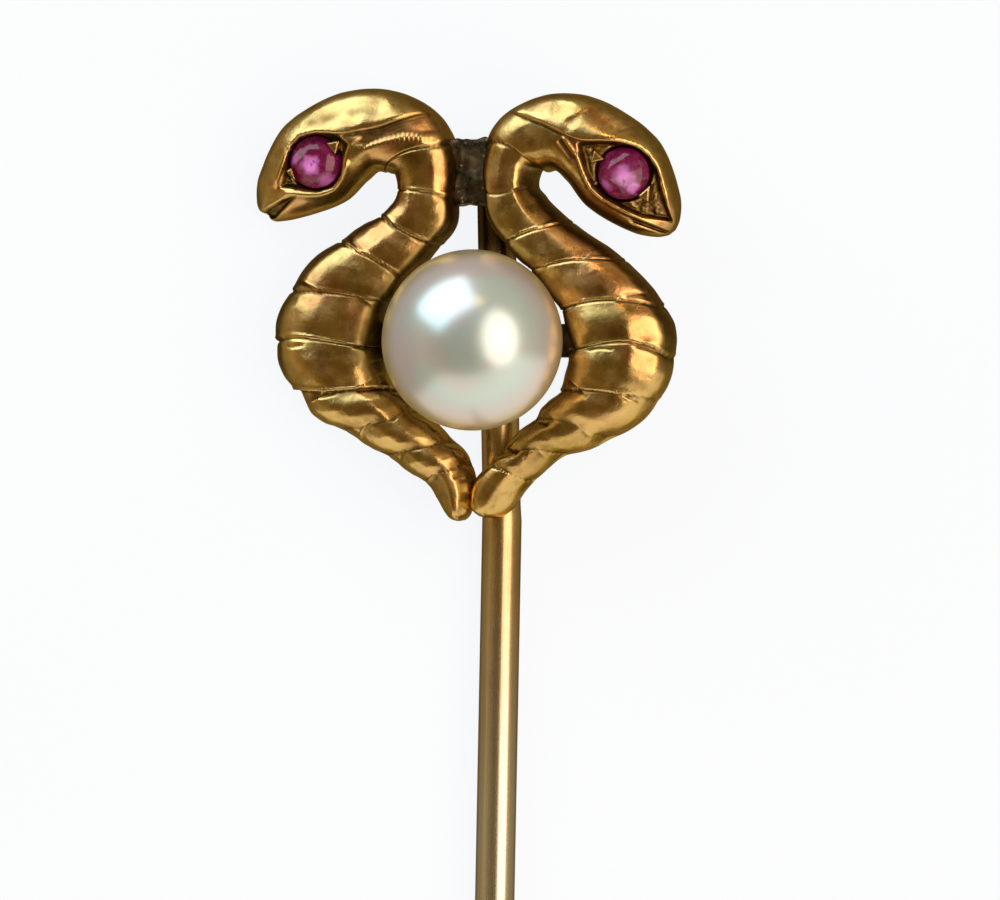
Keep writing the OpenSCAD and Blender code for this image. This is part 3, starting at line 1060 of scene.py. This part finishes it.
# Rows of the stone's corners, from the table to the point: how many, share of the radius, height
# over the girdle, and the turn as a share of one step
RUBY_CORNERS = [
    (7, 0.54, CROWN_HEIGHT, 0), (14, 0.80, 0.26, 0.5), (28, GIRDLE_SHARE, GIRDLE_HALF, 0),
    (28, GIRDLE_SHARE, -GIRDLE_HALF, 0), (14, 0.66, -0.24, 0.25), (7, 0.25, -0.46, 0.5),
    (1, 0, -PAVILION_DEPTH, 0),
]

# Painted highlights and glow of the stones: pixel of the photo, radius in mm and strength, and then
# their height over the girdle and how far their edges waver
RUBY_PAINTED_GLINTS = [
    ((312, 166), 0.34, 0.9), ((295, 160), 0.22, 0.45), ((329, 182), 0.34, 0.4),
    ((624, 178), 0.42, 0.75), ((633, 189), 0.24, 0.7), ((606, 186), 0.26, 0.35),
]
PAINTED_GLINTS_HEIGHT = 0.3
RIPPLE = 0.3


def ruby(eye, turn, table_tilt, seed):
    """Old round-cut stone: a small, slightly sloping table, crown and pavilion facets, a thin girdle."""
    deselect()
    chance = np.random.default_rng(seed)
    points = []
    for count, share, z, shift in RUBY_CORNERS:
        for k in range(count):
            a = turn + (k + shift + UNEVEN_STEP * chance.uniform(-1, 1)) * 2 * math.pi / count
            r = RUBY_RADIUS * share
            if share < GIRDLE_SHARE:
                r *= 1 + UNEVEN_CUT * chance.uniform(-1, 1)
            x, y = r * math.cos(a), r * math.sin(a)
            slope = table_tilt @ (x, y) if z == CROWN_HEIGHT else 0
            points.append((eye[0] + x, eye[1] + y, GIRDLE_Z + z - slope))
    cut = new_piece("cut", points)
    all_in_edit_mode()
    bpy.ops.mesh.convex_hull()
    facing_outwards()
    apply(cut, "BEVEL", width=0.012, segments=2, angle_limit=math.radians(8))
    return modelled(on_pin)


PRONG_FOOT = 1.7
PRONG_TIP = 0.68

# The prongs: pixel of the photo, turn in degrees, length, width and height
PRONGS = {
    "left_prong_upper": ((336, 147), -80, 0.38, 0.34, 0.56),
    "left_prong_lower": ((293, 174), -59, 0.38, 0.17, 0.52),
    "right_prong_upper": ((597, 159), -15, 0.36, 0.34, 0.54),
    "right_prong_lower": ((646, 196), 62, 0.44, 0.30, 0.56),
}


def prong(pixel, degrees, length, width, height):
    """Grain of gold raised with a graver and pushed over the edge of a stone: three filed sides."""
    deselect()
    bpy.ops.mesh.primitive_cone_add(vertices=3, radius1=1, radius2=PRONG_TIP, depth=1)
    grain = bpy.context.object
    across, along, up = points_of(grain).T
    across, along = turned(across * width, along * length, math.radians(degrees - 90))
    x, y = seen_at([pixel])[0]
    up = PRONG_FOOT + (up + 0.5) * height
    set_points(grain, np.column_stack([across + x, along + y, up]))
    apply(grain, "BEVEL", width=0.05, segments=3)
    return modelled(on_pin)


# Materials

NOISE = "ShaderNodeTexNoise"
RANGE = "ShaderNodeMapRange"
MIX = "ShaderNodeMix"
MATHS = "ShaderNodeMath"
VECTORS = "ShaderNodeVectorMath"
BUMP = "ShaderNodeBump"

# Sockets are given by number where names repeat. Map Range: 0 is the value, 1 and 2 the range it
# comes in and 3 and 4 the range it is given. Mix: 0 is the share, 2 and 3 the numbers and 6 and 7
# the colours. COLOUR is what a mix of colours is set to and read from. The scale of a pattern is
# how many of its bumps are in a metre.
COLOUR = {"output": 2, "data_type": "RGBA"}


def fill_inputs(node, inputs):
    """Links each input of a node to a socket or sets it to a value. A colour is its hex code."""
    for key, value in inputs.items():
        if isinstance(value, bpy.types.NodeSocket):
            node.id_data.links.new(value, node.inputs[key])
        else:
            node.inputs[key].default_value = from_hex(value) if isinstance(value, str) else value


def add_node(tree, kind, inputs=None, output=0, **settings):
    """Adds a node with its settings, fills its inputs and gives back one of its outputs."""
    node = tree.nodes.new(kind)
    for key, value in settings.items():
        setattr(node, key, value)
    fill_inputs(node, inputs or {})
    return node.outputs[output]


def new_material(name):
    """A material, the function that adds nodes to it, its shader and the place on the piece."""
    material = bpy.data.materials.new(name)
    material.use_nodes = True
    add = partial(add_node, material.node_tree)
    place = add("ShaderNodeTexCoord", output="Object")
    return material, add, material.node_tree.nodes["Principled BSDF"], place


def gold_tones(add, place, yellow, rose, olive):
    """Colour of worn gold: patches of rosier and greener metal, a few millimetres across."""
    patches = add(NOISE, {"Vector": place, "Scale": 700, "Detail": 3})
    rosy = add(RANGE, {0: patches, 1: 0.46, 2: 0.68, 4: 0.7})
    patches = add(NOISE, {"Vector": place, "Scale": 520, "Detail": 2, "Distortion": 0.6})
    green = add(RANGE, {0: patches, 1: 0.5, 2: 0.7, 4: 0.6})
    warm = add(MIX, {0: rosy, 6: yellow, 7: rose}, **COLOUR)
    return add(MIX, {0: green, 6: warm, 7: olive}, **COLOUR)


def worn_gold():
    """15 carat gold, carved, polished and worn: warm, with brown tarnish in its hollows, painted shade
    on its walls, beside the pearl and along the outer rims, coppery spots and a trace of old wax."""
    material, add, shader, place = new_material("worn_15_carat_gold")
    patina_and_shade, worn, rosy = (
        add("ShaderNodeAttribute", output="Fac", attribute_name=name)
        for name in ("patina_and_shade", "worn", "rosy")
    )
    tones = gold_tones(add, place, "D6B679", "CE9F74", "A89A58")
    # Coppery where old solder or a richer alloy shows
    mottle = add(NOISE, {"Vector": place, "Scale": 2600, "Detail": 4, "Roughness": 0.6})
    spotted = add(MATHS, {0: rosy, 1: mottle}, operation="MULTIPLY")
    share = add(RANGE, {0: spotted, 1: 0.15, 2: 0.5, 4: 0.85})
    coppery = add(MIX, {0: share, 6: tones, 7: "CE9062"}, **COLOUR)
    # Tarnish and painted shade, broken into specks of about a quarter of a millimetre
    specks = add(NOISE, {"Vector": place, "Scale": 4200, "Detail": 4, "Roughness": 0.6})
    speckle = add(RANGE, {0: specks, 1: 0.3, 2: 0.7, 3: 0.38, 4: 0.62})
    patchy = add(MATHS, {0: patina_and_shade, 1: speckle, 2: -0.08}, operation="MULTIPLY_ADD")
    dark = add(RANGE, {0: patchy, 1: 0, 2: 0.42, 4: 0.92})
    browned = add(MIX, {0: dark, 6: coppery, 7: "463818"}, **COLOUR)
    stains = add(NOISE, {"Vector": place, "Scale": 1100, "Detail": 5, "Roughness": 0.65})
    share = add(RANGE, {0: stains, 1: 0.46, 2: 0.66, 4: 0.65})
    stained = add(MIX, {0: share, 6: browned, 7: "805B2A"}, **COLOUR)
    # Bare bright gold on the edges that are rubbed most
    share = add(MATHS, {0: worn, 1: mottle}, operation="MULTIPLY")
    colour = add(MIX, {0: share, 6: stained, 7: "E2C282"}, **COLOUR)
    clouds = add(NOISE, {"Vector": place, "Scale": 1500, "Detail": 3})
    polish = add(RANGE, {0: clouds, 1: 0.3, 2: 0.7, 3: 0.18, 4: 0.33})
    gloss = add(MIX, {0: dark, 2: polish, 3: 0.42})
    # Small dings of about half a millimetre under fine scratches
    dings = add(NOISE, {"Vector": place, "Scale": 2000, "Detail": 3, "Distortion": 0.5})
    worked = add(BUMP, {"Height": dings, "Strength": 0.5, "Distance": 0.04 * MM})
    grit = add(NOISE, {"Vector": place, "Scale": 9000, "Detail": 3, "Roughness": 0.7})
    scratched = {"Height": grit, "Strength": 0.35, "Distance": 0.01 * MM, "Normal": worked}
    fine = add(BUMP, scratched)
    fill_inputs(shader, {
        "Base Color": colour, "Roughness": gloss, "Normal": fine, "Metallic": 1,
        "Specular Tint": "CCB87C", "Coat Weight": 0.1, "Coat Roughness": 0.2,
    })
    return material


def drawn_wire():
    """Drawn gold wire: darker at its top as painted shade under the head, yellow behind the head, paler
    lower down, with fine drawing lines."""
    material, add, shader, place = new_material("drawn_gold_wire")
    along = add("ShaderNodeSeparateXYZ", {0: place}, 1)
    low = add(RANGE, {0: along, 1: -1 * MM, 2: -9 * MM})
    tones = gold_tones(add, place, "D4B88C", "C6A27C", "B09C66")
    paler = add(MIX, {0: low, 6: tones, 7: "DED6CC"}, **COLOUR)
    # Painted shade: darker towards the top of the wire, under the head
    painted_shade_top = add(RANGE, {0: along, 1: 6.8 * MM, 2: 8.5 * MM, 4: 0.9})
    with_painted_shade = add(MIX, {0: painted_shade_top, 6: paler, 7: "3A2E1C"}, **COLOUR)
    # Drawing lines about 0.05 mm apart
    stretch = add("ShaderNodeMapping", {0: place, 3: (22000, 250, 22000)})
    lines = add(NOISE, {"Vector": stretch, "Scale": 1, "Detail": 3})
    share = add(RANGE, {0: lines, 1: 0.45, 2: 0.75, 4: 0.25})
    streaked = add(MIX, {0: share, 6: with_painted_shade, 7: "7A5A3A"}, **COLOUR)
    gloss = add(RANGE, {0: lines, 1: 0, 2: 1, 3: 0.2, 4: 0.34})
    fine = add(BUMP, {"Height": lines, "Strength": 0.2, "Distance": 0.005 * MM})
    fill_inputs(shader, {
        "Base Color": streaked, "Roughness": gloss, "Normal": fine, "Metallic": 1,
        "Specular Tint": "98824A", "Coat Weight": 0.1, "Coat Roughness": 0.15,
    })
    return material


def dark_solder():
    """Oxidised silver and gold solder: dull brown black with specks of bare gold."""
    material, add, shader, place = new_material("oxidised_solder")
    blotches = add(NOISE, {"Vector": place, "Scale": 1500, "Detail": 5, "Roughness": 0.65})
    share = add(RANGE, {0: blotches, 1: 0.42, 2: 0.68})
    brown = add(MIX, {0: share, 6: "221D16", 7: "7A6A52"}, **COLOUR)
    specks = add(NOISE, {"Vector": place, "Scale": 6000, "Detail": 2})
    bare = add(RANGE, {0: specks, 1: 0.66, 2: 0.72})
    colour = add(MIX, {0: bare, 6: brown, 7: "C79A50"}, **COLOUR)
    gloss = add(RANGE, {0: blotches, 1: 0, 2: 1, 3: 0.35, 4: 0.6})
    rough = add(BUMP, {"Height": blotches, "Strength": 0.4, "Distance": 0.03 * MM})
    fill_inputs(shader, {
        "Base Color": colour, "Roughness": gloss, "Normal": rough, "Metallic": 0.85,
    })
    return material


def nacre():
    """Pearl: grey cream body under thin layers of nacre, with a deep soft gloss that turns green and
    pink in places, a painted sheen as a pink ring round the front and a painted reflection as creamier
    sides."""
    material, add, shader, place = new_material("cream_nacre")
    depth = add(NOISE, {"Vector": place, "Scale": 260, "Detail": 2})
    body = add(MIX, {0: depth, 6: "CEE2EC", 7: "C4D8E4"}, **COLOUR)
    overtone = add(NOISE, {"Vector": place, "Scale": 430, "Detail": 1})
    share = add(RANGE, {0: overtone, 1: 0.5, 2: 0.66, 4: 0.6})
    pinker = add(MIX, {0: share, 6: body, 7: "DCCEDA"}, **COLOUR)
    # Painted sheen as a pink ring round the front, and a painted reflection of the gold as creamier
    # sides and back
    height = add("ShaderNodeSeparateXYZ", {0: place}, 2)
    front = add(RANGE, {0: height, 1: 5 * MM, 2: 5.5 * MM, 3: 0.5, 4: 1})
    painted_sheen_ring = add(MIX, {0: front, 6: "DCC6CC", 7: pinker}, **COLOUR)
    side = add(RANGE, {0: height, 1: 4.1 * MM, 2: 4.9 * MM})
    painted_gold_reflection = add(MIX, {0: side, 6: "CCBE94", 7: painted_sheen_ring}, **COLOUR)
    growth = add(NOISE, {"Vector": place, "Scale": 5200, "Detail": 3})
    fine = add(BUMP, {"Height": growth, "Strength": 0.08, "Distance": 0.005 * MM})
    fill_inputs(shader, {
        "Base Color": painted_gold_reflection, "Normal": fine, "Metallic": 0.6, "Roughness": 0.28, "IOR": 1.7,
        "Specular Tint": "BEA06A", "Coat Weight": 0.1, "Coat Roughness": 0.1,
        "Subsurface Weight": 0.2, "Subsurface Scale": 0.6 * MM,
    })
    return material


def painted_glints(add, place):
    """Painted highlights where the cut of the stones throws light back, as patches with uneven edges."""
    ripple = add(NOISE, {"Vector": place, "Scale": 3500, "Detail": 2}, "Color")
    shaken = {0: ripple, 1: (RIPPLE * MM,) * 3, 2: place}
    uneven_place = add(VECTORS, shaken, operation="MULTIPLY_ADD")
    total = 0
    for pixel, radius, strength in RUBY_PAINTED_GLINTS:
        spot = on_pin([(*seen_at([pixel])[0], GIRDLE_Z + PAINTED_GLINTS_HEIGHT)])[0] + RIPPLE / 2
        to_spot = {0: uneven_place, 1: tuple(spot * MM)}
        away = add(VECTORS, to_spot, "Value", operation="DISTANCE")
        near = add(RANGE, {0: away, 1: radius * MM, 2: 0.4 * radius * MM, 4: strength})
        total = add(MATHS, {0: total, 1: near}, operation="MAXIMUM")
    return total


def cut_ruby():
    """Natural ruby: deep purplish red, clear with pink veils and dark specks, with a bright surface,
    and painted highlights and a painted glow in patches where the cut throws light back."""
    material, add, shader, place = new_material("natural_ruby")
    veil = add(NOISE, {"Vector": place, "Scale": 2200, "Detail": 4, "Distortion": 1.0})
    share = add(RANGE, {0: veil, 1: 0.42, 2: 0.66})
    tint = add(MIX, {0: share, 6: "801452", 7: "A42C78"}, **COLOUR)
    lit = painted_glints(add, place)
    painted_glint_colour = add(MIX, {0: lit, 6: tint, 7: "EFA8EC"}, **COLOUR)
    specks = add(NOISE, {"Vector": place, "Scale": 3800, "Detail": 3})
    share = add(RANGE, {0: specks, 1: 0.64, 2: 0.7})
    colour = add(MIX, {0: share, 6: painted_glint_colour, 7: "4A0C38"}, **COLOUR)
    # Painted glow: the stones give off light, faintly all over and strongest in the painted highlights
    glow = add(MIX, {0: lit, 6: "30061C", 7: "E070D8"}, **COLOUR)
    fill_inputs(shader, {
        "Base Color": colour, "Emission Color": glow, "Roughness": 0.15, "IOR": 1.76,
        "Specular IOR Level": 0.12, "Transmission Weight": 0.5, "Emission Strength": 0.45,
    })
    return material


def lit_acrylic():
    """White acrylic sheet lit from below, so that the pin throws next to no shadow."""
    material, add, shader, place = new_material("lit_white_acrylic")
    clouds = add(NOISE, {"Vector": place, "Scale": 40, "Detail": 2})
    body = add(MIX, {0: clouds, 6: "444444", 7: "484848"}, **COLOUR)
    glow = add(MIX, {0: clouds, 6: "F9FBFF", 7: "FBFDFF"}, **COLOUR)
    fill_inputs(shader, {
        "Base Color": body, "Emission Color": glow, "Roughness": 0.7, "Emission Strength": 0.92,
    })
    return material


# Stage, camera and light

# The middle of the photo and the camera's height, in metres, and then the sensor, the width that
# the camera sees and the gap under the pin, in millimetres
FOCUS = Vector((-0.10, 2.16, 0)) * MM
CAMERA_HEIGHT = 0.5
SENSOR_WIDTH = 36
FIELD_WIDTH = PHOTO_WIDTH * PIXEL
FLOOR_GAP = 0.01


def stage_floor():
    """Lit panel under the pin. The gold doesn't reflect it, and it lets the light from below by."""
    deselect()
    bpy.ops.mesh.primitive_plane_add(size=4, location=(0, 0, cad_box[0][2] - FLOOR_GAP * MM))
    floor = bpy.context.object
    floor.name = "floor"
    floor.data.materials.append(lit_acrylic())
    floor.visible_glossy = False
    floor.visible_shadow = False


def camera():
    """Camera straight above the middle of the photo, turned as the photo is."""
    bpy.ops.object.camera_add(location=(FOCUS.x, FOCUS.y, CAMERA_HEIGHT), rotation=(0, 0, CAMERA_ROLL))
    eye = bpy.context.object
    eye.data.sensor_width = SENSOR_WIDTH
    eye.data.lens = SENSOR_WIDTH * CAMERA_HEIGHT / (FIELD_WIDTH * MM)
    eye.data.clip_start = 0.01
    bpy.context.scene.camera = eye


def soft_box(name, shape, off_axis, round_axis, size, radiance, colour):
    """A panel of light, a metre from the pin, that faces it. off_axis is its angle from straight
    above, and round_axis its direction anticlockwise from the right of the picture, both in
    degrees. Its width and height are in metres."""
    a, b = math.radians(off_axis), math.radians(round_axis)
    away = Vector((math.sin(a) * math.cos(b), math.sin(a) * math.sin(b), math.cos(a)))
    bpy.ops.object.light_add(type="AREA", location=FOCUS + away)
    lamp = bpy.context.object
    lamp.name = name
    lamp.rotation_euler = away.to_track_quat("Z", "Y").to_euler()
    lamp.data.shape = shape
    lamp.data.size, lamp.data.size_y = size
    area = size[0] * size[1] * (math.pi / 4 if shape == "ELLIPSE" else 1)
    lamp.data.energy = radiance * math.pi * area
    lamp.data.color = from_hex(colour)[:3]
    lamp.visible_camera = False


# Colours of the dim room, from straight below to straight above, with the height of each
ROOM = [
    (-1, "928462"), (-0.2, "928462"), (0.1, "988658"), (0.3, "B49E6C"), (0.55, "937A4A"),
    (0.8, "6E5826"), (1, "66511F"),
]


def room():
    """Dim warm surroundings, darkest straight above, where the camera stands."""
    world = bpy.data.worlds.new("room")
    world.use_nodes = True
    tree = world.node_tree
    direction = add_node(tree, "ShaderNodeTexCoord", output="Generated")
    up = add_node(tree, "ShaderNodeSeparateXYZ", {0: direction}, 2)
    share = add_node(tree, RANGE, {0: up, 1: -1})
    walls = add_node(tree, "ShaderNodeValToRGB", {0: share})
    stops = walls.node.color_ramp.elements
    for height, colour in ROOM[1:-1]:
        stops.new((height + 1) / 2)
    for stop, (height, colour) in zip(stops, ROOM):
        stop.color = from_hex(colour)
    fill_inputs(tree.nodes["Background"], {"Color": walls})
    bpy.context.scene.world = world


# The pin

LEFT_EYE, RIGHT_EYE = seen_at([LEFT_EYE_PIXEL, RIGHT_EYE_PIXEL], GIRDLE_Z)
gold = worn_gold()
solder = dark_solder()
stone = cut_ruby()

left = serpent(
    LEFT_ROWS, LEFT_BANDS, LEFT_SECTIONS, left_head_relief, LEFT_EYE, 1, 1, notched_snout=True
)
right = serpent(RIGHT_ROWS, RIGHT_BANDS, RIGHT_SECTIONS, right_head_relief, RIGHT_EYE, -1, 2)
finished(left, "left_serpent", gold, "serpent_pin")
finished(right, "right_serpent", gold, "serpent_pin")
finished(stem(), "stem", drawn_wire(), "serpent_pin")
finished(pearl_bar(), "pearl_bar", solder, "serpent_pin")
finished(neck_bridge(), "neck_bridge", solder, "serpent_pin")
for name, measures in PRONGS.items():
    finished(prong(*measures), name, gold, "serpent_pin")
finished(pearl(), "drilled_pearl", nacre(), "pearl")
left_stone = ruby(LEFT_EYE, 0.3, np.array([0.0, 0.0]), 5)
right_stone = ruby(RIGHT_EYE, 0.9, np.array([0.38, 0.12]), 6)
finished(left_stone, "left_ruby_stone", stone, "ruby_left")
finished(right_stone, "right_ruby_stone", stone, "ruby_right")

stage_floor()
camera()
room()
soft_box("upper_left_box", "RECTANGLE", 63, 125, (1.1, 1.0), 2.3, "E6FCFF")
soft_box("right_box", "ELLIPSE", 36, 6, (1.3, 0.9), 2.7, "FFE8CE")
soft_box("white_card_below", "RECTANGLE", 93, -74, (3.4, 2.4), 0.7, "FFFAEA")
soft_box("small_warm_lamp", "ELLIPSE", 51, 82, (0.08, 0.08), 14.0, "FFD080")
bpy.context.scene.view_settings.view_transform = "Standard"
